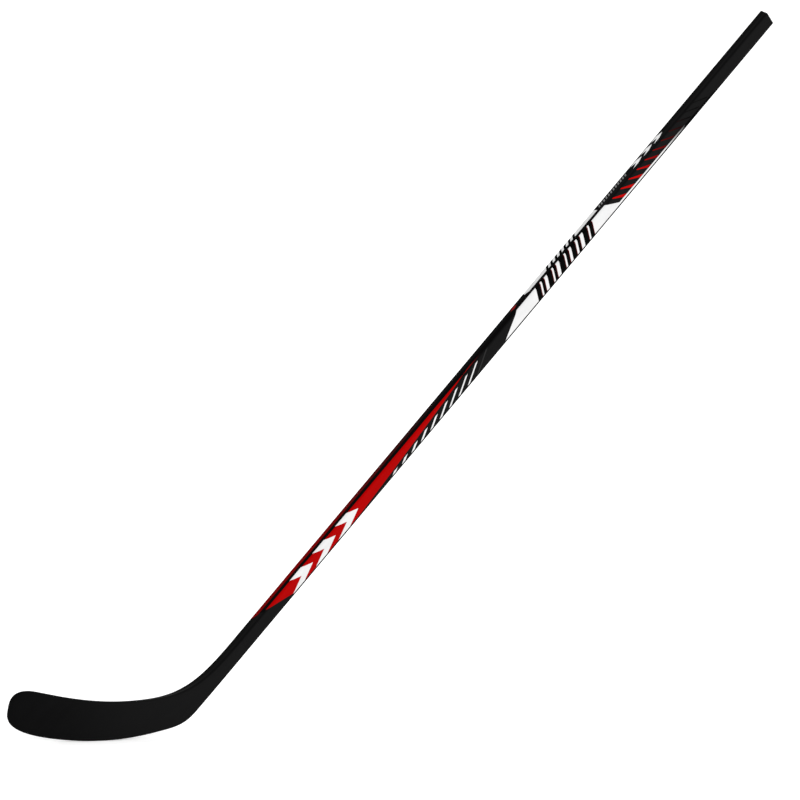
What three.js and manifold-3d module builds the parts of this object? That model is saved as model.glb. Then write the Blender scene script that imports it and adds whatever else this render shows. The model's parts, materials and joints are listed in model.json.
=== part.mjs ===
// Ice hockey stick, left-handed, two-piece fused composite construction.
//
// Row frame: millimetres, +Z up from the ice, origin where the sole touches the ice.
// The blade's toe points to -X, the shaft rises towards +X, and the blade curves towards +Y.
//
// Everything is worked out in the heel frame, whose origin is the heel corner: the place where
// the line of the shaft's lower edge meets the ice, in the shaft's middle plane.

import * as THREE from 'three';
import { mergeVertices } from 'three/addons/utils/BufferGeometryUtils.js';
import Module from 'manifold-3d';

const wasm = await Module();
wasm.setup();

// ---- Driving dimensions (mm, degrees) ----

const LIE_ANGLE = 46.8;             // shaft above the ice
const STICK_LENGTH = 1548;          // heel corner to the butt, along the shaft
const SHAFT_WIDTH = 27.4;           // across the wide face
const SHAFT_THICKNESS = 16.0;       // across the narrow face
const SHAFT_CORNER = 2.7;           // outer corner radius
const SHAFT_WALL = 2.2;
const LEAST_CORNER = 0.6;           // radius of the bore's corners, where the wall has used up the rest
const NARROW_FACE_HOLLOW = 0.45;    // the narrow faces are slightly concave
const HOLLOW_SHARE = 0.4;           // the deepest part's share of the narrow face

const TOE_REACH = 310;              // heel corner to the toe, along the ice
const CURVE_DEPTH = 57;             // how far the toe is offset from the shaft's plane
const CURVE_POWER = 2.24;           // a mid-to-toe curve
const SOLE_RADIUS = 745;            // rocker of the sole
const CONTACT_REACH = 150;          // heel corner to where the sole touches the ice
const SOLE_FLAT = 24;               // length of the worn flat there
const TOE_HEIGHT = 46;              // height of the foremost point
const CROWN = [-281, 82.4];         // highest point of the toe, along the ice and above it
const WAIST = [-107, 63.7];         // lowest point of the blade's top
const SOLE_START = -220;            // the rockered sole runs from here
const SOLE_END = -38;               // to here
const HEEL_TOP = 51;                // heel corner to the end of the heel's curve, up the shaft
const THROAT_TOP = 178;             // heel corner to the end of the throat's curve, up the shaft

// How far the outline's curves lean out from their ends before they turn.
const LEAN = {
  toeDown: 26,
  toeUp: 13,
  soleToToe: 65,
  soleToHeel: 34,
  heelTop: 31,
  crownToToe: 32,
  crownToWaist: 16,
  waistToCrown: 88,
  waistToThroat: 114,
  throat: 98,
};

const EDGE_RAIL = 4;                // width of the rail round the blade's edge
const BLADE_SKIN = 1.1;             // face laminate at the toe, growing to the hosel's wall
const RIB_HEIGHT = 5;
const EDGE_ROUNDING = 0.32;         // edge radius as a share of the blade's thickness
const HOSEL_FROM = 8;               // thickness at which the blade starts to turn into the hosel

const JOINT_AT = 200;               // heel corner to the blade-to-shaft joint, along the shaft
const TENON_LENGTH = 60;            // how far the tenon goes into the shaft
const WRAP_HALF_LENGTH = 20;        // the overwrap's reach on each side of the joint
const WRAP_THICKNESS = 0.45;

const PLUG_CAP = 2;                 // thickness of the butt plug's cap
const PLUG_SPIGOT = 34;             // how far the plug goes into the shaft
const PLUG_WALL = 2;                // the spigot's wall, and the web across it
const CAP_CHAMFER = 0.5;

const GAP = 0.3;                    // between parts that touch
const FILM_GAP = 0.1;               // on each side of a glue film
const FILM = 0.2;                   // thickness of a glue film

// Thickness of the blade and hosel against the place along the ice, heel corner at 0.
const THICKNESS_STATIONS = [
  [-TOE_REACH, 5.0],
  [-150, 6.6],
  [-60, HOSEL_FROM],
  [-20, 10.6],
  [20, 14.2],
  [60, 15.7],
  [100, SHAFT_THICKNESS],
];

// ---- Colours and finishes ----

const FINISHES = {
  laminate: { color: 0x1c1c1c, roughness: 0.45, metalness: 0 },
  raw_laminate: { color: 0x2b2c2e, roughness: 0.6, metalness: 0 },
  foam: { color: 0xe6dfca, roughness: 0.9, metalness: 0 },
  epoxy: { color: 0xb8862e, roughness: 0.3, metalness: 0 },
  plug: { color: 0x161616, roughness: 0.6, metalness: 0 },
};

// ---- Helpers ----

const lie = THREE.MathUtils.degToRad(LIE_ANGLE);
const alongShaft = new THREE.Vector2(Math.cos(lie), Math.sin(lie));
const acrossShaft = new THREE.Vector2(-Math.sin(lie), Math.cos(lie));

// A point of the lie plane, `along` mm up the shaft's lower edge and `across` mm over it.
function shaftPoint(along, across) {
  return alongShaft.clone().multiplyScalar(along).addScaledVector(acrossShaft, across);
}

// Height of the rocker arc over its lowest point.
function rockerHeight(fromContact) {
  return SOLE_RADIUS - Math.sqrt(SOLE_RADIUS ** 2 - fromContact ** 2);
}

// How far the blade's middle surface stands off the shaft's plane.
function curveOffset(x) {
  return CURVE_DEPTH * (Math.max(0, -x) / TOE_REACH) ** CURVE_POWER;
}

function thicknessAt(x) {
  const last = THICKNESS_STATIONS.length - 1;
  if (x <= THICKNESS_STATIONS[0][0]) return THICKNESS_STATIONS[0][1];
  if (x >= THICKNESS_STATIONS[last][0]) return THICKNESS_STATIONS[last][1];
  const next = THICKNESS_STATIONS.findIndex(([place]) => place > x);
  const [x0, t0] = THICKNESS_STATIONS[next - 1];
  const [x1, t1] = THICKNESS_STATIONS[next];
  return THREE.MathUtils.mapLinear(x, x0, x1, t0, t1);
}

function named(name, finish, geometry) {
  const mesh = new THREE.Mesh(geometry, new THREE.MeshStandardMaterial(FINISHES[finish]));
  mesh.name = name;
  return mesh;
}

function toManifold(geometry) {
  const bare = geometry.clone();
  bare.deleteAttribute('normal');
  bare.deleteAttribute('uv');
  const merged = mergeVertices(bare, 1e-4);
  return new wasm.Manifold(new wasm.Mesh({
    numProp: 3,
    vertProperties: Float32Array.from(merged.attributes.position.array),
    triVerts: Uint32Array.from(merged.index.array),
  }));
}

function fromManifold(solid) {
  const mesh = solid.getMesh();
  const geometry = new THREE.BufferGeometry();
  geometry.setAttribute('position', new THREE.BufferAttribute(mesh.vertProperties, 3));
  geometry.setIndex(new THREE.BufferAttribute(mesh.triVerts, 1));
  return geometry;
}

// ---- The blade's outline, in the lie plane of the heel frame ----

const toe = new THREE.Vector2(-TOE_REACH, TOE_HEIGHT);

// The slope of the rocker arc at a place along the ice, as a vector of the given length in X.
function rockerTangent(x, length) {
  const fromContact = x + CONTACT_REACH;
  const slope = fromContact / Math.sqrt(SOLE_RADIUS ** 2 - fromContact ** 2);
  return new THREE.Vector2(length, slope * length);
}

// Lower edge: round the toe, along the rockered sole, round the heel and up the shaft.
function lowerEdge() {
  const start = new THREE.Vector2(SOLE_START, rockerHeight(SOLE_START + CONTACT_REACH));
  const end = new THREE.Vector2(SOLE_END, rockerHeight(SOLE_END + CONTACT_REACH));
  const startHandle = start.clone().sub(rockerTangent(SOLE_START, LEAN.soleToToe));
  const endHandle = end.clone().add(rockerTangent(SOLE_END, LEAN.soleToHeel));
  const heelTop = shaftPoint(HEEL_TOP, 0);
  const heelHandle = shaftPoint(HEEL_TOP - LEAN.heelTop, 0);
  const top = shaftPoint(JOINT_AT, 0);
  const angleAt = (x) => -Math.PI / 2 + Math.asin((x + CONTACT_REACH) / SOLE_RADIUS);
  const path = new THREE.Path();
  path.moveTo(toe.x, toe.y);
  path.bezierCurveTo(toe.x, toe.y - LEAN.toeDown, startHandle.x, startHandle.y, start.x, start.y);
  path.absarc(-CONTACT_REACH, SOLE_RADIUS, SOLE_RADIUS, angleAt(SOLE_START), angleAt(SOLE_END));
  path.bezierCurveTo(endHandle.x, endHandle.y, heelHandle.x, heelHandle.y, heelTop.x, heelTop.y);
  path.lineTo(top.x, top.y);
  return path;
}

// Upper edge: over the toe, along the slightly hollow top and round the throat into the shaft.
function upperEdge() {
  const crown = new THREE.Vector2(...CROWN);
  const waist = new THREE.Vector2(...WAIST);
  const throat = shaftPoint(THROAT_TOP, SHAFT_WIDTH);
  const throatHandle = shaftPoint(THROAT_TOP - LEAN.throat, SHAFT_WIDTH);
  const top = shaftPoint(JOINT_AT, SHAFT_WIDTH);
  const path = new THREE.Path();
  path.moveTo(toe.x, toe.y);
  path.bezierCurveTo(toe.x, toe.y + LEAN.toeUp, crown.x - LEAN.crownToToe, crown.y, crown.x, crown.y);
  path.bezierCurveTo(crown.x + LEAN.crownToWaist, crown.y, waist.x - LEAN.waistToCrown, waist.y,
    waist.x, waist.y);
  path.bezierCurveTo(waist.x + LEAN.waistToThroat, waist.y, throatHandle.x, throatHandle.y,
    throat.x, throat.y);
  path.lineTo(top.x, top.y);
  return path;
}

// The first place on a path, from 0 to 1, whose point passes the test.
function firstPlace(path, test) {
  const steps = 2000;
  for (let step = 0; step < steps; step += 1) {
    if (test(path.getPoint(step / steps))) return step / steps;
  }
  return 1;
}

const edges = { lower: lowerEdge(), upper: upperEdge() };

// Marks pair a place on the lower edge with one on the upper edge: the toe, the crown, the waist,
// the top of the throat and the joint are stations 0 to 4. Between two marks the pairs are spaced
// evenly, so the sections turn slowly from upright in the blade to square across the shaft.
function marksOf(path) {
  return [
    0,
    firstPlace(path, (p) => p.x > CROWN[0]),
    firstPlace(path, (p) => p.x > WAIST[0]),
    firstPlace(path, (p) => p.dot(alongShaft) > THROAT_TOP),
    1,
  ];
}

const marks = { lower: marksOf(edges.lower), upper: marksOf(edges.upper) };
const HOSEL_TOP = 4;                // the station where the blade ends
const TOE_TIP = 0.1;                // the first station, where the toe is already a little tall

// A point `inset` mm inside the edge at a station from 0 (toe) to 4 (joint).
function edgePoint(side, station, inset) {
  const span = Math.min(Math.floor(station), HOSEL_TOP - 1);
  const [from, to] = marks[side].slice(span, span + 2);
  const place = THREE.MathUtils.lerp(from, to, station - span);
  const point = edges[side].getPoint(place);
  const tangent = edges[side].getTangent(place);
  const turn = side === 'lower' ? 1 : -1;
  point.y = Math.max(0, point.y - rockerHeight(SOLE_FLAT / 2));
  return point.add(new THREE.Vector2(-tangent.y * turn, tangent.x * turn).multiplyScalar(inset));
}

// Everything that changes along the blade, at one station.
function sectionAt(station) {
  const middle = edgePoint('lower', station, 0).add(edgePoint('upper', station, 0)).multiplyScalar(0.5);
  const thickness = thicknessAt(middle.x);
  const growth = THREE.MathUtils.smoothstep(thickness, HOSEL_FROM, SHAFT_THICKNESS);
  return {
    half: thickness / 2,
    rounding: Math.min(EDGE_ROUNDING * thickness, SHAFT_CORNER),
    skin: THREE.MathUtils.lerp(BLADE_SKIN, SHAFT_WALL, growth),
    hollow: NARROW_FACE_HOLLOW * growth,
  };
}

// Evenly spread values from the first to the last.
function spread(first, last, count) {
  return Array.from({ length: count + 1 }, (_, k) => THREE.MathUtils.lerp(first, last, k / count));
}

const STEPS = { toe: 6, blade: 10, heel: 13 };
const LEAST_STEP = 0.02;

// Stations spread over the blade, closer together round the toe and the heel.
function stationsBetween(first, last) {
  const all = [
    ...spread(TOE_TIP, 1, STEPS.toe),
    ...spread(1, 2, STEPS.blade).slice(1),
    ...spread(2, 3, STEPS.heel).slice(1),
    HOSEL_TOP,
  ];
  return [first, ...all.filter((s) => s > first + LEAST_STEP && s < last - LEAST_STEP), last];
}

// Puts a point of the lie plane on the blade's curved middle surface, `off` mm towards +Y.
function onBlade(point, off) {
  return new THREE.Vector3(point.x, curveOffset(point.x) + off, point.y);
}

// A closed body between two sheets of points. Both sheets have the same rows and columns.
function closedBody(near, far) {
  const rows = near.length;
  const columns = near[0].length;
  const positions = [...near.flat(), ...far.flat()].flatMap((p) => p.toArray());
  const at = (sheet, row, column) => (sheet * rows + row) * columns + column;
  const index = [];
  const quad = (a, b, c, d) => index.push(a, b, c, a, c, d);
  for (let r = 0; r < rows - 1; r += 1) {
    for (let c = 0; c < columns - 1; c += 1) {
      quad(at(0, r, c), at(0, r + 1, c), at(0, r + 1, c + 1), at(0, r, c + 1));
      quad(at(1, r, c), at(1, r, c + 1), at(1, r + 1, c + 1), at(1, r + 1, c));
    }
    quad(at(0, r, 0), at(1, r, 0), at(1, r + 1, 0), at(0, r + 1, 0));
    quad(at(0, r, columns - 1), at(0, r + 1, columns - 1), at(1, r + 1, columns - 1), at(1, r, columns - 1));
  }
  for (let c = 0; c < columns - 1; c += 1) {
    quad(at(0, 0, c), at(0, 0, c + 1), at(1, 0, c + 1), at(1, 0, c));
    quad(at(0, rows - 1, c), at(1, rows - 1, c), at(1, rows - 1, c + 1), at(0, rows - 1, c + 1));
  }
  const geometry = new THREE.BufferGeometry();
  geometry.setAttribute('position', new THREE.Float32BufferAttribute(positions, 3));
  geometry.setIndex(index);
  return geometry;
}

// A plate that follows the blade. `reach` gives its lower and upper limits as shares of the
// height inside the rail, and `depth` its near and far limits from the middle surface.
function bladePlate(first, last, reach, depth, columns) {
  const near = [];
  const far = [];
  for (const station of stationsBetween(first, last)) {
    const section = sectionAt(station);
    const low = edgePoint('lower', station, EDGE_RAIL + GAP);
    const high = edgePoint('upper', station, EDGE_RAIL + GAP);
    const height = low.distanceTo(high);
    const [from, to] = reach(height);
    const [nearOff, farOff] = depth(section);
    const line = spread(from, to, columns).map((share) => low.clone().lerp(high, share));
    near.push(line.map((point) => onBlade(point, nearOff)));
    far.push(line.map((point) => onBlade(point, farOff)));
  }
  return closedBody(near, far);
}

const wholeHeight = () => [0, 1];
const belowRib = (height) => [0, 0.5 - (RIB_HEIGHT / 2 + GAP) / height];
const aboveRib = (height) => [0.5 + (RIB_HEIGHT / 2 + GAP) / height, 1];
const ribHeight = (height) => [0.5 - RIB_HEIGHT / 2 / height, 0.5 + RIB_HEIGHT / 2 / height];
const coreDepth = ({ half, skin }) => [skin + GAP - half, half - skin - GAP];

// ---- The blade's parts ----

const RIB_START = 1.15;             // stations where the core's parts meet
const RIB_END = 2.35;
const STATION_GAP = 0.004;          // about 0.3 to 0.7 mm along the blade
const FACE_COLUMNS = 4;
const CORE_COLUMNS = 2;

function bladeEdgeRail() {
  const profile = ({ half, rounding, hollow }) => {
    const arc = spread(Math.PI / 2, 0, 3).map((angle) => [
      rounding - rounding * Math.cos(angle),
      half - rounding + rounding * Math.sin(angle),
    ]);
    return [[EDGE_RAIL, half], ...arc, [hollow, (half - rounding) * HOLLOW_SHARE]];
  };
  const stations = stationsBetween(TOE_TIP, HOSEL_TOP);
  const route = [
    ...stations.map((station) => ['upper', station]).reverse(),
    ...stations.map((station) => ['lower', station]),
  ];
  const near = [];
  const far = [];
  for (const [side, station] of route) {
    const points = profile(sectionAt(station));
    near.push(points.map(([inset, off]) => onBlade(edgePoint(side, station, inset), -off)));
    far.push(points.map(([inset, off]) => onBlade(edgePoint(side, station, inset), off)));
  }
  return closedBody(far, near);
}

function bladeFace(side) {
  const depth = ({ half, skin }) => (side === 'backhand' ? [-half, skin - half] : [half - skin, half]);
  return bladePlate(TOE_TIP, HOSEL_TOP, wholeHeight, depth, FACE_COLUMNS);
}

function bladeCore(first, last, reach) {
  return bladePlate(first, last, reach, coreDepth, CORE_COLUMNS);
}

// ---- The shaft's section, in the shaft's own frame ----
// Local X runs across the wide face, towards the lower edge, and local Z runs up the shaft.

function shaftOutline(inset) {
  const halfWidth = SHAFT_WIDTH / 2 - inset;
  const halfThickness = SHAFT_THICKNESS / 2 - inset;
  const corner = Math.max(SHAFT_CORNER - inset, LEAST_CORNER);
  const arcSteps = 4;
  const points = [];
  for (const quarter of [0, 1, 2, 3]) {
    const signX = quarter === 0 || quarter === 3 ? 1 : -1;
    const signY = quarter < 2 ? 1 : -1;
    for (let step = 0; step <= arcSteps; step += 1) {
      const angle = (quarter + step / arcSteps) * Math.PI / 2;
      points.push(new THREE.Vector2(
        signX * (halfWidth - corner) + corner * Math.cos(angle),
        signY * (halfThickness - corner) + corner * Math.sin(angle),
      ));
    }
    if (quarter === 1 || quarter === 3) {
      const dent = signX * (halfWidth - NARROW_FACE_HOLLOW);
      const y = signY * (halfThickness - corner) * HOLLOW_SHARE;
      points.push(new THREE.Vector2(dent, y), new THREE.Vector2(dent, -y));
    }
  }
  return points;
}

function shaftBar(inset, from, to, hole) {
  const shape = new THREE.Shape(shaftOutline(inset));
  if (hole !== undefined) shape.holes.push(new THREE.Path(shaftOutline(hole)));
  const bar = new THREE.ExtrudeGeometry(shape, { depth: to - from, bevelEnabled: false });
  return bar.translate(0, 0, from);
}

const boreInset = SHAFT_WALL;
const filmInset = boreInset + FILM_GAP;
const innerInset = filmInset + FILM + FILM_GAP;
const buttFace = STICK_LENGTH;
const tubeEnd = buttFace - PLUG_CAP - GAP;
const wrapBed = WRAP_THICKNESS + GAP;

// The shallow ring cut into the shaft and the hosel, in which the overwrap lies flush.
function wrapRecess() {
  const ringAround = -2;            // past the shaft's own surface
  const reach = WRAP_HALF_LENGTH + GAP;
  return shaftBar(ringAround, JOINT_AT - reach, JOINT_AT + reach, wrapBed);
}

function shaftTube() {
  const tube = toManifold(shaftBar(0, JOINT_AT + GAP, tubeEnd, boreInset));
  return fromManifold(tube.subtract(toManifold(wrapRecess())));
}

function buttPlug() {
  const shape = new THREE.Shape(shaftOutline(CAP_CHAMFER));
  const cap = new THREE.ExtrudeGeometry(shape, {
    depth: PLUG_CAP - 2 * CAP_CHAMFER,
    bevelSize: CAP_CHAMFER,
    bevelThickness: CAP_CHAMFER,
    bevelSegments: 1,
  }).translate(0, 0, buttFace - PLUG_CAP + CAP_CHAMFER);
  const spigotStart = tubeEnd - PLUG_SPIGOT;
  const intoCap = PLUG_CAP / 2;
  const spigotEnd = buttFace - PLUG_CAP + intoCap;
  const spigot = shaftBar(innerInset, spigotStart, spigotEnd, innerInset + PLUG_WALL);
  const webHeight = spigotEnd - spigotStart;
  const webReach = SHAFT_THICKNESS - 2 * innerInset - PLUG_WALL;
  const web = new THREE.BoxGeometry(PLUG_WALL, webReach, webHeight);
  web.translate(0, 0, spigotStart + webHeight / 2);
  return fromManifold(toManifold(cap).add(toManifold(spigot)).add(toManifold(web)));
}

// ---- Assembly ----

const stick = new THREE.Group();
stick.position.set(CONTACT_REACH, -curveOffset(-CONTACT_REACH), 0);

const shaftAxis = shaftPoint(0, SHAFT_WIDTH / 2);
const shaft = new THREE.Group();
shaft.position.set(shaftAxis.x, 0, shaftAxis.y);
shaft.rotation.y = Math.PI / 2 - lie;
stick.add(shaft);
stick.updateMatrixWorld(true);

// Takes a solid drawn in the shaft's frame into the heel frame.
function inHeelFrame(geometry) {
  return geometry.clone().applyMatrix4(shaft.matrix);
}

function cutForWrap(geometry) {
  return fromManifold(toManifold(geometry).subtract(toManifold(inHeelFrame(wrapRecess()))));
}

// The hosel block fills the heel and the hosel, and carries the tenon that enters the shaft.
function hoselTenon() {
  const block = bladeCore(RIB_END + STATION_GAP, HOSEL_TOP, wholeHeight);
  const overlap = 2;
  const start = JOINT_AT + GAP;
  const tongue = shaftBar(innerInset, start, JOINT_AT + TENON_LENGTH);
  const narrowing = EDGE_RAIL + GAP;
  const neck = new THREE.BoxGeometry(
    SHAFT_WIDTH - 2 * narrowing,
    SHAFT_THICKNESS - 2 * (SHAFT_WALL + GAP),
    2 * overlap,
  ).translate(0, 0, JOINT_AT);
  return fromManifold(
    toManifold(block).add(toManifold(inHeelFrame(neck))).add(toManifold(inHeelFrame(tongue))),
  );
}

stick.add(
  named('blade_edge_rail', 'laminate', cutForWrap(bladeEdgeRail())),
  named('blade_face_backhand', 'laminate', cutForWrap(bladeFace('backhand'))),
  named('blade_face_forehand', 'laminate', cutForWrap(bladeFace('forehand'))),
  named('foam_core_toe', 'foam', bladeCore(TOE_TIP, RIB_START - STATION_GAP, wholeHeight)),
  named('foam_core_upper', 'foam', bladeCore(RIB_START, RIB_END, aboveRib)),
  named('foam_core_lower', 'foam', bladeCore(RIB_START, RIB_END, belowRib)),
  named('core_rib', 'raw_laminate', bladeCore(RIB_START, RIB_END, ribHeight)),
  named('hosel_tenon', 'raw_laminate', hoselTenon()),
);

const filmStart = JOINT_AT + 2 * GAP;
const filmEnd = JOINT_AT + TENON_LENGTH - GAP;
const glueStart = tubeEnd - PLUG_SPIGOT + GAP;
shaft.add(
  named('shaft_tube', 'laminate', shaftTube()),
  named('joint_overwrap', 'laminate',
    shaftBar(0, JOINT_AT - WRAP_HALF_LENGTH, JOINT_AT + WRAP_HALF_LENGTH, WRAP_THICKNESS)),
  named('tenon_adhesive', 'epoxy', shaftBar(filmInset, filmStart, filmEnd, filmInset + FILM)),
  named('butt_plug', 'plug', buttPlug()),
  named('butt_plug_glue', 'epoxy', shaftBar(filmInset, glueStart, tubeEnd - GAP, filmInset + FILM)),
);

export default stick;
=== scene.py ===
import json
import math

import bmesh
import bpy
import numpy as np
from mathutils import Matrix, Vector


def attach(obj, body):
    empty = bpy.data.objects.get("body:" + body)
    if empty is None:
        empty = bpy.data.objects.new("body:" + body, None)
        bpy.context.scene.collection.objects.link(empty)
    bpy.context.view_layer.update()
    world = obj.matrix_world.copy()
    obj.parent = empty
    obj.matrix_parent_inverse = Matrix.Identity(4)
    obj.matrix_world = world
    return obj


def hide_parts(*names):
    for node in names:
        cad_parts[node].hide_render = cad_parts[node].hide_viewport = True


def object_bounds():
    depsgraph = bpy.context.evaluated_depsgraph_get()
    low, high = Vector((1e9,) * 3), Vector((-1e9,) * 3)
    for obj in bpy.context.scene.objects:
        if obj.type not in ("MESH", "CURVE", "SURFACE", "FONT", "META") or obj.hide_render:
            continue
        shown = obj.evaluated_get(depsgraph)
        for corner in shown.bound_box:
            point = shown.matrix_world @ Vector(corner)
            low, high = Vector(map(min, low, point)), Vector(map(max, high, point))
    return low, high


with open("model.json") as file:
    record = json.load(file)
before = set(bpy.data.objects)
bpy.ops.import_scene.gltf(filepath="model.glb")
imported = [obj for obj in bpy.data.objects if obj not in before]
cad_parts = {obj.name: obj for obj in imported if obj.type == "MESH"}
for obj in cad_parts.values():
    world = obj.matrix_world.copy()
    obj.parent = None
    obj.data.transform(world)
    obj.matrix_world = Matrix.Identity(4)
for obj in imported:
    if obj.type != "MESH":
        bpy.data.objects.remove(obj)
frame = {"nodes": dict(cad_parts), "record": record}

cad_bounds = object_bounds()

# An ice hockey stick: a painted composite blade with its hosel, a hollow shaft, the overwrap at
# their joint, the butt plug, and the painted shapes on the shaft.
#
# Lengths below are in millimetres, as on a drawing, and every mesh is written in metres.
# A place on the shaft is (along, girth): `along` runs up the shaft from the heel corner, and
# `girth` runs round it from the middle of the backhand face, over the upper narrow face.

MM = 0.001

# ---- Where things are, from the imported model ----

mounts = {mount["name"]: mount for mount in frame["record"]["mounts"]}


def mount_place(name):
    return Vector(mounts[name]["pos_m"]) / MM


ALONG = Vector(mounts["butt_end"]["axis"]).normalized()
ACROSS = Vector((-ALONG.z, 0, ALONG.x))       # towards the upper narrow face
SIDEWAYS = Vector((0, 1, 0))                  # towards the forehand face
LIE = math.atan2(ALONG.z, ALONG.x)

# ---- Driving dimensions ----

STICK_LENGTH = 1548
SHAFT_WIDTH = 27.4
SHAFT_THICKNESS = mount_place("shaft_face_forehand").y - mount_place("shaft_face_backhand").y
SHAFT_CORNER = 2.7
SHAFT_WALL = 2.2
LEAST_CORNER = 0.6
NARROW_FACE_HOLLOW = 0.45

TOE_REACH = 310
CURVE_DEPTH = 57
CURVE_POWER = 2.24
SOLE_RADIUS = 745
CONTACT_REACH = 150
SOLE_FLAT = 24
TOE = (-TOE_REACH, 46)
CROWN = (-281, 82.4)
WAIST = (-107, 63.7)
SOLE_START = -220
SOLE_END = -38
HEEL_TOP = 51
THROAT_TOP = 178
LEAN = {
    "toe_down": 26,
    "toe_up": 13,
    "sole_to_toe": 65,
    "sole_to_heel": 34,
    "heel_top": 31,
    "crown_to_toe": 32,
    "crown_to_waist": 16,
    "waist_to_crown": 88,
    "waist_to_throat": 114,
    "throat": 98,
}
EDGE_RAIL = 4
BLADE_SKIN = 1.1
EDGE_ROUNDING = 0.32
HOSEL_FROM = 8
THICKNESS_STATIONS = [
    (-TOE_REACH, 5.0),
    (-150, 6.6),
    (-60, HOSEL_FROM),
    (-20, 10.6),
    (20, 14.2),
    (60, 15.7),
    (100, SHAFT_THICKNESS),
]

JOINT_AT = 200
WRAP_START = 180
WRAP_END = 220
WRAP_THICKNESS = 0.45
WRAP_EDGE = 0.15                              # rounding of the overwrap's two ends
WRAP_BED = 0.5                                # depth of the recess under the overwrap

PLUG_CAP = 2
PLUG_SEAM = 0.3                               # the thin dark line between the cap and the shaft
PLUG_SPIGOT = 34
PLUG_INSET = 2.65
PLUG_WALL = 2
CAP_EDGE = 0.9

HEEL = mount_place("butt_end") - ALONG * STICK_LENGTH - ACROSS * (SHAFT_WIDTH / 2)

# ---- Mesh building ----


def connected_bodies(work):
    """The faces of each separate body in the mesh, as one list for each."""
    left = dict.fromkeys(work.faces)
    while left:
        body = [left.popitem()[0]]
        for face in body:
            for edge in face.edges:
                for beside in edge.link_faces:
                    if beside in left:
                        del left[beside]
                        body.append(beside)
        yield body


def volume_of(body):
    """The volume inside a closed body, which is negative when its faces look inward."""
    origin = body[0].verts[0].co.copy()
    volume = 0
    for face in body:
        first, *rest = [vert.co - origin for vert in face.verts]
        volume += sum(first.dot(near.cross(far)) for near, far in zip(rest, rest[1:]))
    return volume / 6


def solid(name, points, faces, material, slot=None, replaces=(), marks=None, crease_deg=35):
    """A closed body from points in millimetres, smooth except at edges sharper than crease_deg.

    Marks are named values for the points, which the materials read.
    """
    mesh = bpy.data.meshes.new(name)
    mesh.from_pydata([tuple(point * MM) for point in points], [], faces)
    for mark, values in (marks or {}).items():
        mesh.attributes.new(mark, "FLOAT", "POINT").data.foreach_set("value", values)
    work = bmesh.new()
    work.from_mesh(mesh)
    bmesh.ops.remove_doubles(work, verts=work.verts, dist=1e-3 * MM)
    bmesh.ops.recalc_face_normals(work, faces=work.faces)
    for body in connected_bodies(work):
        if volume_of(body) < 0:
            bmesh.ops.reverse_faces(work, faces=body)
    work.to_mesh(mesh)
    work.free()
    mesh.shade_smooth()
    mesh.set_sharp_from_angle(angle=math.radians(crease_deg))
    mesh.materials.append(material)
    piece = bpy.data.objects.new(name, mesh)
    bpy.context.scene.collection.objects.link(piece)
    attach(piece, "root")
    if replaces:
        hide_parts(*replaces)
    return piece


def loft_faces(rings, columns, closed):
    """Faces over rings of the same number of points, joined back to the first ring or capped."""
    faces = []
    for ring in range(rings if closed else rings - 1):
        after = (ring + 1) % rings
        for column in range(columns):
            beside = (column + 1) % columns
            faces.append((
                ring * columns + column,
                ring * columns + beside,
                after * columns + beside,
                after * columns + column,
            ))
    if not closed:
        faces.append(tuple(range(columns)))
        faces.append(tuple((rings - 1) * columns + column for column in range(columns)))
    return faces


def spread(first, last, count):
    return [first + (last - first) * step / count for step in range(count + 1)]


# ---- The shaft's section ----

HALF_FLAT = SHAFT_WIDTH / 2 - SHAFT_CORNER
HALF_NARROW = SHAFT_THICKNESS / 2 - SHAFT_CORNER
ARC = SHAFT_CORNER * math.pi / 2
GIRTH = 4 * (HALF_FLAT + ARC + HALF_NARROW)
ARC_STEPS = 8
NARROW_STEPS = 5
WIDE_STEPS = 3


def quarter_girths():
    """Girths of the section's points from the middle of a wide face to that of a narrow one."""
    wide = spread(0, HALF_FLAT, WIDE_STEPS)
    arc = spread(HALF_FLAT, HALF_FLAT + ARC, ARC_STEPS)[1:]
    narrow = spread(HALF_FLAT + ARC, GIRTH / 4, NARROW_STEPS)[1:]
    return wide + arc + narrow


def half_girths():
    quarter = quarter_girths()
    return quarter + [GIRTH / 2 - girth for girth in reversed(quarter[:-1])]


def all_girths():
    half = half_girths()
    return half + [GIRTH - girth for girth in reversed(half[1:-1])]


def section(girth, inset=0.0):
    """Where a girth lies across and sideways from the shaft's axis, and which way it faces."""
    corner = max(SHAFT_CORNER - inset, LEAST_CORNER)
    flat = SHAFT_WIDTH / 2 - inset - corner
    narrow = SHAFT_THICKNESS / 2 - inset - corner
    girth %= GIRTH
    up = 1 if girth <= GIRTH / 2 else -1
    girth = min(girth, GIRTH - girth)
    side = -1 if girth <= GIRTH / 4 else 1
    girth = min(girth, GIRTH / 2 - girth)
    if girth <= HALF_FLAT:
        place = (flat * girth / HALF_FLAT, narrow + corner)
        facing = (0, 1)
    elif girth <= HALF_FLAT + ARC:
        turn = (girth - HALF_FLAT) / SHAFT_CORNER
        facing = (math.sin(turn), math.cos(turn))
        place = (flat + corner * facing[0], narrow + corner * facing[1])
    else:
        share = (GIRTH / 4 - girth) / HALF_NARROW
        dent = NARROW_FACE_HOLLOW * (1 - share ** 2) ** 2
        place = (flat + corner - dent, narrow * share)
        facing = (1, 0)
    return (up * place[0], side * place[1]), (up * facing[0], side * facing[1])


def on_shaft(along, girth, inset=0.0, lift=0.0):
    (across, sideways), (face_across, face_sideways) = section(girth, inset)
    return (
        HEEL
        + ALONG * along
        + ACROSS * (SHAFT_WIDTH / 2 + across + face_across * lift)
        + SIDEWAYS * (sideways + face_sideways * lift)
    )


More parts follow.
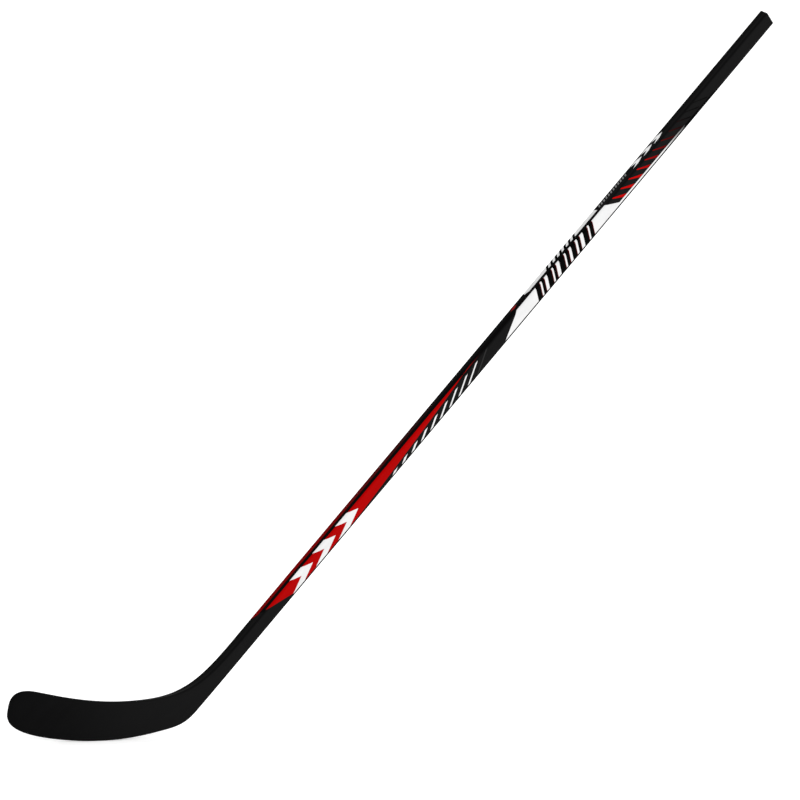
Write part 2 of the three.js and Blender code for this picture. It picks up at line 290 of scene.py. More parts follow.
def corner_share(girth):
    """0 on a wide face, rising over the corner to 1 on a narrow face."""
    past_wide = min(girth % (GIRTH / 2), GIRTH / 2 - girth % (GIRTH / 2)) - HALF_FLAT
    return min(max(past_wide / ARC, 0.0), 1.0)


def wear_at(share):
    """How exposed a surface is to knocks: 1 in the middle of a corner and 0 past its ends."""
    return 4 * share * (1 - share)


def shaft_body(name, profile, material, closed=True, **facts):
    """A body of shaft sections. The profile's steps are (along, inset)."""
    girths = all_girths()
    points = [on_shaft(along, girth, inset) for along, inset in profile for girth in girths]
    shares = [corner_share(girth) for _ in profile for girth in girths]
    # The narrow mark also carries the black paint's painted shade on the narrow faces.
    marks = {"wear": [wear_at(share) for share in shares], "narrow": shares}
    faces = loft_faces(len(profile), len(girths), closed)
    return solid(name, points, faces, material, marks=marks, **facts)


# ---- The blade's outline and section ----


def bezier(start, lean_start, lean_end, end, count=96):
    shares = np.linspace(0, 1, count + 1)[:, None]
    back = 1 - shares
    return (
        back ** 3 * np.array(start)
        + 3 * back ** 2 * shares * np.array(lean_start)
        + 3 * back * shares ** 2 * np.array(lean_end)
        + shares ** 3 * np.array(end)
    )


def flat_place(along, across):
    """A place of the lie plane, measured from the heel corner along the ice and up from it."""
    return (
        ALONG.x * along + ACROSS.x * across,
        ALONG.z * along + ACROSS.z * across,
    )


def rocker_height(from_contact):
    return SOLE_RADIUS - math.sqrt(SOLE_RADIUS ** 2 - from_contact ** 2)


def sole_place(x, lean=0.0):
    """A place on the rockered sole, or one `lean` mm of ice beyond it on its tangent."""
    from_contact = x + CONTACT_REACH
    slope = from_contact / math.sqrt(SOLE_RADIUS ** 2 - from_contact ** 2)
    return (x + lean, rocker_height(from_contact) + slope * lean)


def lower_edge():
    toe_curve = bezier(
        TOE,
        (TOE[0], TOE[1] - LEAN["toe_down"]),
        sole_place(SOLE_START, -LEAN["sole_to_toe"]),
        sole_place(SOLE_START),
    )
    sole = np.array([sole_place(x) for x in np.linspace(SOLE_START, SOLE_END, 120)])
    heel_curve = bezier(
        sole_place(SOLE_END),
        sole_place(SOLE_END, LEAN["sole_to_heel"]),
        flat_place(HEEL_TOP - LEAN["heel_top"], 0),
        flat_place(HEEL_TOP, 0),
    )
    back = [flat_place(THROAT_TOP, 0), flat_place(JOINT_AT, 0)]
    return np.vstack([toe_curve, sole[1:], heel_curve[1:], back])


def upper_edge():
    over_toe = bezier(
        TOE,
        (TOE[0], TOE[1] + LEAN["toe_up"]),
        (CROWN[0] - LEAN["crown_to_toe"], CROWN[1]),
        CROWN,
    )
    top = bezier(
        CROWN,
        (CROWN[0] + LEAN["crown_to_waist"], CROWN[1]),
        (WAIST[0] - LEAN["waist_to_crown"], WAIST[1]),
        WAIST,
    )
    throat = bezier(
        WAIST,
        (WAIST[0] + LEAN["waist_to_throat"], WAIST[1]),
        flat_place(THROAT_TOP - LEAN["throat"], SHAFT_WIDTH),
        flat_place(THROAT_TOP, SHAFT_WIDTH),
    )
    return np.vstack([over_toe, top[1:], throat[1:], [flat_place(JOINT_AT, SHAFT_WIDTH)]])


def measured(route):
    """The route's points with the length along it at each, and its lengths at the stations."""
    steps = np.linalg.norm(np.diff(route, axis=0), axis=1)
    lengths = np.concatenate([[0], np.cumsum(steps)])
    up_shaft = route @ np.array([ALONG.x, ALONG.z])
    marks = [
        0,
        lengths[np.argmax(route[:, 0] >= CROWN[0] - 1e-6)],
        lengths[np.argmax(route[:, 0] >= WAIST[0] - 1e-6)],
        lengths[np.argmax(up_shaft >= THROAT_TOP - 1e-6)],
        lengths[-1],
    ]
    return route, lengths, marks


EDGES = {"lower": measured(lower_edge()), "upper": measured(upper_edge())}
LAST_STATION = 4


def edge_place(side, station, inset):
    """A place `inset` mm inside the edge, at a station from 0 (toe) to 4 (joint)."""
    route, lengths, marks = EDGES[side]
    length = np.interp(station, range(LAST_STATION + 1), marks)
    reach = 0.2

    def at(where):
        return np.array([np.interp(where, lengths, route[:, axis]) for axis in (0, 1)])

    tangent = at(min(length + reach, lengths[-1])) - at(max(length - reach, 0))
    if station == 0:
        tangent = np.array([0.0, -1.0 if side == "lower" else 1.0])
    tangent /= np.linalg.norm(tangent)
    turn = 1 if side == "lower" else -1
    place = at(length)
    place[1] = max(0.0, place[1] - rocker_height(SOLE_FLAT / 2))
    return place + inset * turn * np.array([-tangent[1], tangent[0]])


def station_slopes(stations):
    """Slopes of a smooth curve through the stations that never overshoots them."""
    xs, ys = np.array(stations).T
    steps = np.diff(ys) / np.diff(xs)
    inner = [2 * a * b / (a + b) if a * b > 0 else 0.0 for a, b in zip(steps, steps[1:])]
    return xs, ys, np.array([steps[0], *inner, 0.0])


STATION_XS, STATION_YS, STATION_SLOPES = station_slopes(THICKNESS_STATIONS)


def thickness_at(x):
    x = min(max(x, STATION_XS[0]), STATION_XS[-1])
    span = min(int(np.searchsorted(STATION_XS, x, side="right")), len(STATION_XS) - 1) - 1
    width = STATION_XS[span + 1] - STATION_XS[span]
    share = (x - STATION_XS[span]) / width
    return (
        STATION_YS[span] * (2 * share ** 3 - 3 * share ** 2 + 1)
        + STATION_YS[span + 1] * (3 * share ** 2 - 2 * share ** 3)
        + STATION_SLOPES[span] * width * (share ** 3 - 2 * share ** 2 + share)
        + STATION_SLOPES[span + 1] * width * (share ** 3 - share ** 2)
    )


def blade_section(station):
    middle = (edge_place("lower", station, 0) + edge_place("upper", station, 0)) / 2
    thickness = thickness_at(middle[0])
    share = min(max((thickness - HOSEL_FROM) / (SHAFT_THICKNESS - HOSEL_FROM), 0), 1)
    growth = share * share * (3 - 2 * share)
    return {
        "half": thickness / 2,
        "rounding": min(EDGE_ROUNDING * thickness, SHAFT_CORNER),
        "skin": BLADE_SKIN + (SHAFT_WALL - BLADE_SKIN) * growth,
        "hollow": NARROW_FACE_HOLLOW * growth,
    }


def on_blade(place, off):
    curve = CURVE_DEPTH * (max(0.0, -place[0]) / TOE_REACH) ** CURVE_POWER
    return Vector((HEEL.x + place[0], HEEL.y + curve + off, HEEL.z + place[1]))


def blade_stations():
    """(station, recess) pairs from the toe to the joint, with the step down under the overwrap."""
    step = 3 + (WRAP_START - THROAT_TOP) / (JOINT_AT - THROAT_TOP)
    visible = [
        *[0.16 * (k / 5) ** 2 for k in range(5)],
        *spread(0.16, 1, 26),
        *spread(1, 2, 30)[1:],
        *spread(2, 3, 40)[1:],
        step,
    ]
    return [(station, 0.0) for station in visible] + [
        (step + 0.001, WRAP_BED),
        (LAST_STATION, WRAP_BED),
    ]


# ---- Materials ----


class Shader:
    """Node shorthand for one material."""

    def __init__(self, name):
        self.material = bpy.data.materials.new(name)
        self.material.use_nodes = True
        self.tree = self.material.node_tree
        self.surface = self.tree.nodes["Principled BSDF"]
        place = self.node("ShaderNodeTexCoord").outputs["Object"]
        self.place = self.turned(place)

    def node(self, kind, **settings):
        made = self.tree.nodes.new(kind)
        for key, value in settings.items():
            setattr(made, key, value)
        return made

    def link(self, source, target):
        self.tree.links.new(source, target)

    def turned(self, place):
        """Object coordinates turned so that X runs up the shaft."""
        mapping = self.node("ShaderNodeMapping")
        mapping.vector_type = "POINT"
        mapping.inputs["Rotation"].default_value = (0, LIE, 0)
        self.link(place, mapping.inputs["Vector"])
        return mapping.outputs["Vector"]

    def scaled(self, scale):
        mapping = self.node("ShaderNodeMapping")
        mapping.inputs["Scale"].default_value = scale
        self.link(self.place, mapping.inputs["Vector"])
        return mapping.outputs["Vector"]

    def noise(self, scale, detail=3.0, roughness=0.55):
        """Noise whose scale is given in cycles per metre along, sideways and across."""
        noise = self.node("ShaderNodeTexNoise")
        noise.inputs["Scale"].default_value = 1.0
        noise.inputs["Detail"].default_value = detail
        noise.inputs["Roughness"].default_value = roughness
        self.link(self.scaled(scale), noise.inputs["Vector"])
        return noise.outputs["Fac"]

    def ranged(self, value, low, high, to_low, to_high):
        ranged = self.node("ShaderNodeMapRange")
        for key, setting in zip(("From Min", "From Max", "To Min", "To Max"), (low, high, to_low, to_high)):
            ranged.inputs[key].default_value = setting
        self.link(value, ranged.inputs["Value"])
        return ranged.outputs["Result"]

    def times(self, first, second):
        product = self.node("ShaderNodeMath", operation="MULTIPLY")
        self.link(first, product.inputs[0])
        self.link(second, product.inputs[1])
        return product.outputs["Value"]

    def power(self, value, exponent):
        raised = self.node("ShaderNodeMath", operation="POWER")
        self.link(value, raised.inputs[0])
        raised.inputs[1].default_value = exponent
        return raised.outputs["Value"]

    def plus(self, first, second):
        total = self.node("ShaderNodeMath", operation="ADD")
        self.link(first, total.inputs[0])
        self.link(second, total.inputs[1])
        return total.outputs["Value"]

    def mixed(self, factor, first, second):
        """A colour between two, which are plain colours or other nodes' outputs."""
        mix = self.node("ShaderNodeMix", data_type="RGBA")
        self.link(factor, mix.inputs["Factor"])
        for key, colour in (("A", first), ("B", second)):
            socket = [s for s in mix.inputs if s.name == key and s.type == "RGBA"][0]
            if isinstance(colour, tuple):
                socket.default_value = (*colour, 1)
            else:
                self.link(colour, socket)
        return [s for s in mix.outputs if s.type == "RGBA"][0]

    def bump(self, height, depth, under=None):
        """Bump of the given depth in metres, on top of another bump if one is given."""
        bump = self.node("ShaderNodeBump")
        bump.inputs["Strength"].default_value = 1.0
        bump.inputs["Distance"].default_value = depth
        self.link(height, bump.inputs["Height"])
        if under is not None:
            self.link(under, bump.inputs["Normal"])
        return bump.outputs["Normal"]

    def attribute(self, name):
        return self.node("ShaderNodeAttribute", attribute_name=name).outputs["Fac"]

    def separate(self, axis):
        split = self.node("ShaderNodeSeparateXYZ")
        self.link(self.place, split.inputs["Vector"])
        return split.outputs[axis]

    def up_shaft(self):
        """Metres up the shaft from the heel corner."""
        heel = HEEL * MM
        start = heel.dot(ALONG)
        shifted = self.node("ShaderNodeMath", operation="SUBTRACT")
        self.link(self.separate("X"), shifted.inputs[0])
        shifted.inputs[1].default_value = start
        return shifted.outputs["Value"]

    def set(self, **constants):
        for key, value in constants.items():
            self.surface.inputs[key.replace("_", " ")].default_value = value

    def drive(self, socket, output):
        self.link(output, self.surface.inputs[socket])


def lacquer_finish(shader, base, specular, rough_low, rough_high, worn=(0.03, 0.03, 0.03)):
    """Satin lacquer over fibre: uneven gloss, faint orange peel, fibre print-through, edge wear."""
    shader.surface.inputs["Specular IOR Level"].default_value = specular
    cloud = shader.noise((14, 40, 40), detail=4.0)
    scuffs = shader.noise((60, 900, 900), detail=5.0, roughness=0.7)
    speckle = shader.noise((260, 260, 260), detail=4.0, roughness=0.65)
    edge = shader.times(shader.attribute("wear"), shader.ranged(speckle, 0.62, 0.85, 0, 0.5))
    shader.drive("Base Color", shader.mixed(edge, base, worn))
    gloss = shader.ranged(cloud, 0.3, 0.7, rough_low, rough_high)
    shader.drive("Roughness", shader.plus(gloss, shader.ranged(scuffs, 0.45, 0.8, 0, 0.12)))
    peel = shader.bump(shader.noise((420, 420, 420), detail=2.0), 0.00002)
    fibre = shader.bump(shader.noise((30, 1500, 1500), detail=3.0), 0.000012, under=peel)
    shader.drive("Normal", fibre)
    return shader.material


BLACK = (0.0035, 0.0035, 0.0036)
BLACK_SPECULAR = 0.03
PALER_BLACK = (0.0042, 0.0042, 0.0043)
# painted shade: the black made darker towards the toe, where the blade turns away from the light
TOE_SHADE_BLACK = (0.0006, 0.0006, 0.0007)
# painted shade: the black made darker on the narrow faces and the blade's rounded edges
NARROW_SHADE_BLACK = (0.0012, 0.0012, 0.0012)
WORN_BLACK = (0.012, 0.012, 0.013)


def black_paint(name):
    """The stick's satin black. It is darkened a little from the hosel to the toe as painted shade, and made
    darker on the narrow faces and the blade's rounded edges as painted shade.
    """
    shader = Shader(name)
    toe_x = HEEL.x * MM - TOE_REACH * MM
    waist_x = HEEL.x * MM + WAIST[0] * MM
    place = shader.node("ShaderNodeTexCoord").outputs["Object"]
    split = shader.node("ShaderNodeSeparateXYZ")
    shader.link(place, split.inputs["Vector"])
    # painted shade: the black darkens from the waist to the toe
    to_toe = shader.ranged(split.outputs["X"], toe_x, waist_x, 0, 1)
    tint = shader.mixed(to_toe, TOE_SHADE_BLACK, BLACK)
    cloud = shader.noise((9, 30, 30), detail=4.0)
    uneven = shader.mixed(shader.ranged(cloud, 0.35, 0.65, 0, 0.3), tint, PALER_BLACK)
    # painted shade: a darker black where the narrow mark rises, over the corners and narrow faces
    base = shader.mixed(shader.attribute("narrow"), uneven, NARROW_SHADE_BLACK)
    return lacquer_finish(shader, base, BLACK_SPECULAR, 0.4, 0.52, WORN_BLACK)


def painted(name, colour, specular=0.06, rough=(0.34, 0.46), fade=None, faded=BLACK, haste=1.0):
    """Screen-printed paint. With fade=(from, to), it turns to the faded colour up the shaft.

    Haste over 1 makes the turn start fast and end slowly.
    """
    shader = Shader(name)
    cloud = shader.noise((20, 60, 60), detail=4.0)
    deeper = tuple(part * 0.93 for part in colour)
    base = shader.mixed(shader.ranged(cloud, 0.35, 0.65, 0, 1), colour, deeper)
    if fade:
        start, end = (place * MM for place in fade)
        kept = shader.power(shader.ranged(shader.up_shaft(), start, end, 1, 0), haste)
        base = shader.mixed(kept, faded, base)
    worn = tuple(part * 0.8 for part in colour)
    return lacquer_finish(shader, base, specular, *rough, worn=worn)


def raw_laminate():
    """Unpainted laminate: a twill of fibre bundles under a thin film of resin."""
    shader = Shader("raw_laminate")
    shader.set(Specular_IOR_Level=0.4)
    along = shader.node("ShaderNodeTexWave", wave_type="BANDS", bands_direction="DIAGONAL")
    along.inputs["Scale"].default_value = 160
    along.inputs["Distortion"].default_value = 0.6
    shader.link(shader.place, along.inputs["Vector"])
    crossing = shader.node("ShaderNodeTexWave", wave_type="BANDS", bands_direction="DIAGONAL")
    crossing.inputs["Scale"].default_value = 160
    crossing.inputs["Distortion"].default_value = 0.6
    shader.link(shader.scaled((1, 1, -1)), crossing.inputs["Vector"])
    weave = shader.times(along.outputs["Fac"], crossing.outputs["Fac"])
    fibre = shader.noise((40, 2200, 2200), detail=4.0)
    shader.drive("Base Color", shader.mixed(weave, (0.012, 0.012, 0.013), (0.05, 0.051, 0.054)))
    shader.drive("Roughness", shader.ranged(fibre, 0.3, 0.7, 0.32, 0.6))
    shader.drive("Normal", shader.bump(fibre, 0.00003, under=shader.bump(weave, 0.00008)))
    return shader.material


def foam():
    """Closed-cell foam: fine bubbles with a few open ones, yellowed in clouds."""
    shader = Shader("core_foam")
    shader.set(Specular_IOR_Level=0.2)
    cells = shader.node("ShaderNodeTexVoronoi", feature="F1")
    cells.inputs["Scale"].default_value = 900
    shader.link(shader.place, cells.inputs["Vector"])
    cloud = shader.noise((18, 18, 18), detail=4.0)
    bubble = shader.ranged(cells.outputs["Distance"], 0.1, 0.7, 0, 1)
    tint = shader.mixed(cloud, (0.83, 0.77, 0.6), (0.72, 0.65, 0.47))
    shader.drive("Base Color", shader.mixed(bubble, (0.55, 0.48, 0.33), tint))
    shader.drive("Roughness", shader.ranged(cloud, 0.3, 0.7, 0.8, 0.95))
    shader.drive("Normal", shader.bump(bubble, 0.00025))
    return shader.material


def glue(name):
    """Cured amber glue with small bubbles and flow marks."""
    shader = Shader(name)
    shader.set(Specular_IOR_Level=0.5, Transmission_Weight=0.25)
    flow = shader.noise((50, 160, 160), detail=5.0)
    bubbles = shader.node("ShaderNodeTexVoronoi", feature="SMOOTH_F1")
    bubbles.inputs["Scale"].default_value = 520
    shader.link(shader.place, bubbles.inputs["Vector"])
    shader.drive("Base Color", shader.mixed(flow, (0.5, 0.26, 0.04), (0.36, 0.16, 0.02)))
    shader.drive("Roughness", shader.ranged(flow, 0.3, 0.7, 0.15, 0.35))
    shader.drive("Normal", shader.bump(bubbles.outputs["Distance"], 0.00012))
    return shader.material


def moulded_plastic(name):
    """The butt plug's plastic: a fine spark-eroded grain, scuffed where it meets the ice."""
    shader = Shader(name)
    shader.set(Specular_IOR_Level=0.1)
    grain = shader.noise((1400, 1400, 1400), detail=3.0)
    scuff = shader.noise((90, 500, 90), detail=5.0, roughness=0.7)
    worn = shader.times(shader.attribute("wear"), shader.ranged(scuff, 0.45, 0.7, 0, 1))
    shader.drive("Base Color", shader.mixed(worn, (0.0034, 0.0034, 0.0035), WORN_BLACK))
    shader.drive("Roughness", shader.ranged(scuff, 0.3, 0.7, 0.48, 0.66))
    shader.drive("Normal", shader.bump(grain, 0.00003))
    return shader.material


BLACK_PAINT = black_paint("satin_black")

# ---- The blade ----


def blade_rail():
    """The laminate rail round the blade's edge: rounded outside, hollowed where the hosel starts."""
    round_steps = 6
    hollow_steps = 3

    def ring(side, station, recess):
        part = blade_section(station)
        half = part["half"] - recess
        rounding = part["rounding"]
        outline = [(EDGE_RAIL, half, 0.0), (EDGE_RAIL * 0.82, half, 0.0)]
        for share in spread(0, 1, round_steps):
            turn = share * math.pi / 2
            outline.append((
                recess + rounding * (1 - math.sin(turn)),
                half - rounding * (1 - math.cos(turn)),
                share,
            ))
        for share in spread(1, 0, hollow_steps)[1:]:
            dent = part["hollow"] * (1 - share ** 2) ** 2
            outline.append((recess + dent, (half - rounding) * share, 1.0))
        far = [(inset, -off, share) for inset, off, share in reversed(outline[:-1])]
        return [
            (on_blade(edge_place(side, station, inset), off), share)
            for inset, off, share in outline + far
        ]

    stations = blade_stations()
    rings = [ring("upper", *pair) for pair in reversed(stations)]
    rings += [ring("lower", *pair) for pair in stations[1:]]
    points = [point for each in rings for point, _ in each]
    shares = [share for each in rings for _, share in each]
    # The narrow mark also carries the black paint's painted shade on the rounded edges.
    marks = {"wear": [wear_at(share) for share in shares], "narrow": shares}
    faces = loft_faces(len(rings), len(rings[0]), closed=False)
    return solid("blade_rail", points, faces, BLACK_PAINT, "laminate", ["blade_edge_rail"], marks)


def blade_skin(name, node, side):
    """One face of the blade, inside the rail. Side is -1 for the backhand and 1 for the forehand."""
    columns = 14
    near = []
    far = []
    for station, recess in blade_stations():
        part = blade_section(station)
        low = edge_place("lower", station, EDGE_RAIL)
        high = edge_place("upper", station, EDGE_RAIL)
        for share in spread(0, 1, columns):
            place = low + (high - low) * share
            near.append(on_blade(place, side * (part["half"] - recess)))
            far.append(on_blade(place, side * (part["half"] - part["skin"])))
    rows = len(blade_stations())
    wide = columns + 1
    sheet = rows * wide
    faces = []
    for row in range(rows - 1):
        for column in range(columns):
            corner = row * wide + column
            quad = (corner, corner + 1, corner + wide + 1, corner + wide)
            faces += [quad, tuple(sheet + index for index in quad)]
        for column in (0, columns):
            corner = row * wide + column
            faces.append((corner, corner + wide, sheet + corner + wide, sheet + corner))
    for column in range(columns):
        for row in (0, rows - 1):
            corner = row * wide + column
            faces.append((corner, corner + 1, sheet + corner + 1, sheet + corner))
    return solid(name, near + far, faces, BLACK_PAINT, "laminate", [node])


blade_rail()
blade_skin("blade_backhand_skin", "blade_face_backhand", -1)
blade_skin("blade_forehand_skin", "blade_face_forehand", 1)

# ---- The shaft, the overwrap and the butt plug ----

SHAFT_END = STICK_LENGTH - PLUG_CAP - PLUG_SEAM
SHAFT_EDGE = 0.2
SECTION_PITCH = 30


def shaft_tube():
    count = round((SHAFT_END - WRAP_END) / SECTION_PITCH)
    outside = [(along, 0.0) for along in spread(WRAP_END, SHAFT_END - SHAFT_EDGE, count)]
    inside = [(along, SHAFT_WALL) for along in spread(SHAFT_END, JOINT_AT, count // 2)]
    profile = [(JOINT_AT, WRAP_BED), (WRAP_END - 0.01, WRAP_BED), *outside]
    profile += [(SHAFT_END, SHAFT_EDGE), *inside]
    return shaft_body("shaft_laminate", profile, BLACK_PAINT, slot="laminate", replaces=["shaft_tube"])


def overwrap():
    """The ring of laminate over the joint, sanded flush, with softly rounded ends."""
    first = [
        (WRAP_START + WRAP_EDGE * (1 - math.cos(turn)), WRAP_EDGE * (1 - math.sin(turn)))
        for turn in spread(0, math.pi / 2, 4)
    ]
    last = [(WRAP_START + WRAP_END - along, inset) for along, inset in reversed(first)]
    profile = first + last + [(WRAP_END, WRAP_THICKNESS), (WRAP_START, WRAP_THICKNESS)]
    return shaft_body("joint_overwrap_skin", profile, BLACK_PAINT, slot="laminate",
                      replaces=["joint_overwrap"])


def butt_plug():
    """A flat cap with rounded edges, and the hollow spigot that goes into the shaft."""
    steps = 6
    under = STICK_LENGTH - PLUG_CAP
    spigot_start = under - PLUG_SPIGOT
    rim = [(STICK_LENGTH - CAP_EDGE * (1 - math.sin(turn)), CAP_EDGE * (1 - math.cos(turn)))
           for turn in spread(0, math.pi / 2, steps)]
    profile = [
        (under - 0.5, PLUG_INSET + PLUG_WALL),
        (spigot_start, PLUG_INSET + PLUG_WALL),
        (spigot_start, PLUG_INSET + 0.3),
        (spigot_start + 1, PLUG_INSET),
        (under, PLUG_INSET),
        (under, 0.15),
        (under + 0.15, 0.0),
        *rim,
        (STICK_LENGTH, CAP_EDGE + 2),
    ]
    return shaft_body("butt_cap", profile, moulded_plastic("cap_plastic"), closed=False,
                      slot="plug", replaces=["butt_plug"])


shaft_tube()
overwrap()
butt_plug()

# ---- The painted shapes on the shaft ----
# Each is a thin closed film. `wide(n)` is a girth on the backhand face, `n` mm over its lower
# edge, and `narrow(y)` one on the upper narrow face, `y` mm from its middle towards the forehand.

FILM_SINK = 0.08
LAYER = 0.05
LOW = 4.4                                     # the shapes' lower limit on the wide faces
CORNER_END = HALF_FLAT + ARC                  # where the corner has turned into the narrow face
RED_TOP = HALF_FLAT + ARC * 0.83
FAR_TOP = HALF_FLAT + ARC * 0.5               # the upper limit on the forehand face


def wide(n):
    return n - SHAFT_WIDTH / 2


def narrow(y):
    return GIRTH / 4 + y


TOP = CORNER_END + SHAFT_WIDTH / 2            # the same limits, as n
NARROW_LOW = 0.7
NARROW_HIGH = GIRTH / 4 - FAR_TOP             # the far corner's middle


def film(name, outlines, material, layer=1, mirror=True):
    """One body for each outline of (along, girth) points, on the shaft's surface.

    With mirror, the shapes are repeated on the forehand face, cut off at the corner's middle.
    """
    points = []
    faces = []
    for far_side in ((False, True) if mirror else (False,)):
        for outline in outlines:
            work = bmesh.new()
            corners = [work.verts.new((along, girth, 0)) for along, girth in outline]
            work.faces.new(corners).normal_update()
            bmesh.ops.triangulate(work, faces=work.faces[:])
            lines = half_girths() + [-girth for girth in half_girths()[1:]]
            low = min(girth for _, girth in outline)
            high = max(girth for _, girth in outline)
            for girth in lines:
                if low < girth < high:
                    cut(work, girth, keep_below=False)
            if far_side and high > FAR_TOP:
                cut(work, FAR_TOP, keep_below=True)
            first = len(points)
            flat = [(vert.co.x, GIRTH / 2 - vert.co.y if far_side else vert.co.y) for vert in work.verts]
            count = len(flat)
            work.verts.index_update()
            points += [on_shaft(along, girth, lift=layer * LAYER) for along, girth in flat]
            points += [on_shaft(along, girth, lift=-FILM_SINK) for along, girth in flat]
            for face in work.faces:
                loop = tuple(first + vert.index for vert in face.verts)
                faces += [loop, tuple(index + count for index in reversed(loop))]
            for edge in work.edges:
                if len(edge.link_faces) == 1:
                    a, b = (first + vert.index for vert in edge.verts)
                    faces.append((a, b, b + count, a + count))
            work.free()
    return solid(name, points, faces, material)


def cut(work, girth, keep_below):
    everything = work.verts[:] + work.edges[:] + work.faces[:]
    bmesh.ops.bisect_plane(
        work, geom=everything, dist=1e-5, plane_co=(0, girth, 0), plane_no=(0, 1, 0),
        clear_outer=keep_below,
    )


def slanted(start, width, lean, low, high):
    """A bar across the face whose top stands `lean` mm further up the shaft."""
    return [(start, low), (start + width, low), (start + lean + width, high), (start + lean, high)]


def chevron(start, length, arm, low, high):
    """An arrowhead that points up the shaft."""
    middle = (low + high) / 2
    return [
        (start, low),
        (start + arm, low),
        (start + length, middle),
        (start + arm, high),
        (start, high),
        (start + length - arm, middle),
    ]


RED = (0.35, 0.0002, 0.0002)
SLASH_RED = (0.44, 0.0002, 0.0002)
RED_SPECULAR = 0.012
WHITE = (0.70, 0.70, 0.70)
SHADE_RED = (0.10, 0.004, 0.004)
DEEP_BLACK = (0.0006, 0.0006, 0.0006)
# painted shade: the red made darker where it lies on the upper narrow face
SHADED_NARROW_RED = (0.15, 0.0004, 0.0004)
SMALL_RED = (0.2, 0.002, 0.002)
FAINT_GREY = (0.011, 0.011, 0.011)
TICK_GREY = (0.16, 0.16, 0.16)
# painted shade: the panel's white made darker where it lies on the upper narrow face
SHADED_NARROW_WHITE = (0.6, 0.6, 0.6)

# The red wedge: a straight lower end, and an edge that rises gently to its tip.
WEDGE_TIP = 772
WEDGE_END = 802                               # where the last, fading sliver ends
WEDGE_RISE = 470


def wedge_edge(along):
    past = along - WEDGE_RISE
    return LOW + 0.07 * past + 0.00005 * past ** 2


def red_wedge():
    rising = [(along, wide(wedge_edge(along))) for along in range(WEDGE_RISE, WEDGE_TIP, 20)]
    wedge = [(301, wide(LOW)), *rising, (WEDGE_END, RED_TOP), (245, RED_TOP)]
    film("red_wedge", [wedge], painted("signal_red", RED, RED_SPECULAR, fade=(755, WEDGE_END), haste=2))


def narrow_stripe():
    stripe = [
        (232, narrow(NARROW_LOW)),
        (735, narrow(NARROW_LOW)),
        (735, narrow(NARROW_HIGH)),
        (219, narrow(NARROW_HIGH)),
        (223, narrow(4)),
    ]
    # painted shade: the stripe's red is darkened for the narrow face's shade; its fade to black up the
    # shaft is print
    material = painted(
        "shaded_red_fading", SHADED_NARROW_RED, RED_SPECULAR, fade=(400, 735), haste=2)
    film("narrow_red_stripe", [stripe], material, mirror=False)
    diamond = [(884, narrow(3)), (892, narrow(1)), (900, narrow(3)), (892, narrow(5))]
    film("narrow_red_diamond", [diamond], painted("small_red", SMALL_RED), mirror=False)


def black_band():
    """The deep black line that parts the wide face's shapes from the narrow face's."""
    band = [
        (240, CORNER_END - 0.8),
        (1115, CORNER_END - 0.8),
        (1105, narrow(NARROW_LOW)),
        (236, narrow(NARROW_LOW)),
    ]
    film("black_band", [band], DEEP_PAINT, layer=0.5, mirror=False)


def wedge_marks():
    """Three bold chevrons on the red."""
    marks = [
        [(along + 0.35 * (girth - wide(LOW)) - 4, girth)
         for along, girth in chevron(start, 54, 29, wide(LOW), wide(TOP))]
        for start in (302, 360, 418)
    ]
    film("wedge_chevrons", marks, WHITE_PAINT, layer=2)


def dashes():
    """Nine white dashes that grow longer up the shaft, and a faint one after them."""
    outlines = []
    for k in range(10):
        start = 552 + 24.3 * k
        top = 568 + 27.1 * k
        width = 9 - 0.45 * k
        outlines.append(slanted(start, width, top - start - width, wide(LOW), wide(8 + 2 * k)))
    film("white_dashes", outlines[:9], WHITE_PAINT)
    film("faint_dash", outlines[9:], painted("faint_grey", FAINT_GREY, specular=0.1))


def white_panel():
    panel = [
        (844.5, wide(LOW)),
        (1149, wide(LOW)),
        (1120, CORNER_END),
        (891, CORNER_END),
    ]
    line = [(1147, wide(LOW)), (1322, wide(4.6)), (1318, wide(7.4)), (1143, wide(8.2))]
    film("white_panel", [panel], WHITE_PAINT)
    film("white_line", [line], painted("white_fading", WHITE, fade=(1255, 1322)), layer=0.8)
    tail = [(1300, wide(1.2)), (1412, wide(1.2)), (1385, wide(6.2)), (1318, wide(7.6))]
    film("black_line", [tail], DEEP_PAINT)


# The panel's bars: the width of each and the gap after it, and the first one's place.
PANEL_BARS_START = 931
PANEL_BARS = (
    (10, 5), (6, 8), (11, 5), (6, 9), (12, 5), (7, 7), (10, 6), (6, 9), (11, 5), (8, 6),
)
BAR_LEAN = 8
BAR_EDGE = 1.6                                # the thin red edge's width
BAR_EDGE_UNDER = 0.2                          # how far the edge starts under the bar


def panel_bars():
    """Slanted bars in an uneven rhythm, each with a thin red edge on its upper side."""
    start = PANEL_BARS_START
    bars = []
    edges = []
    for width, gap in PANEL_BARS:
        bars.append(slanted(start, width, BAR_LEAN, wide(LOW), CORNER_END))
        edge_start = start + width - BAR_EDGE_UNDER
        edges.append(slanted(edge_start, BAR_EDGE, BAR_LEAN, wide(LOW), CORNER_END))
        start += width + gap
    film("panel_bars", bars, DEEP_PAINT, layer=3)
    film("panel_bar_edges", edges, painted("shade_red", SHADE_RED), layer=2)


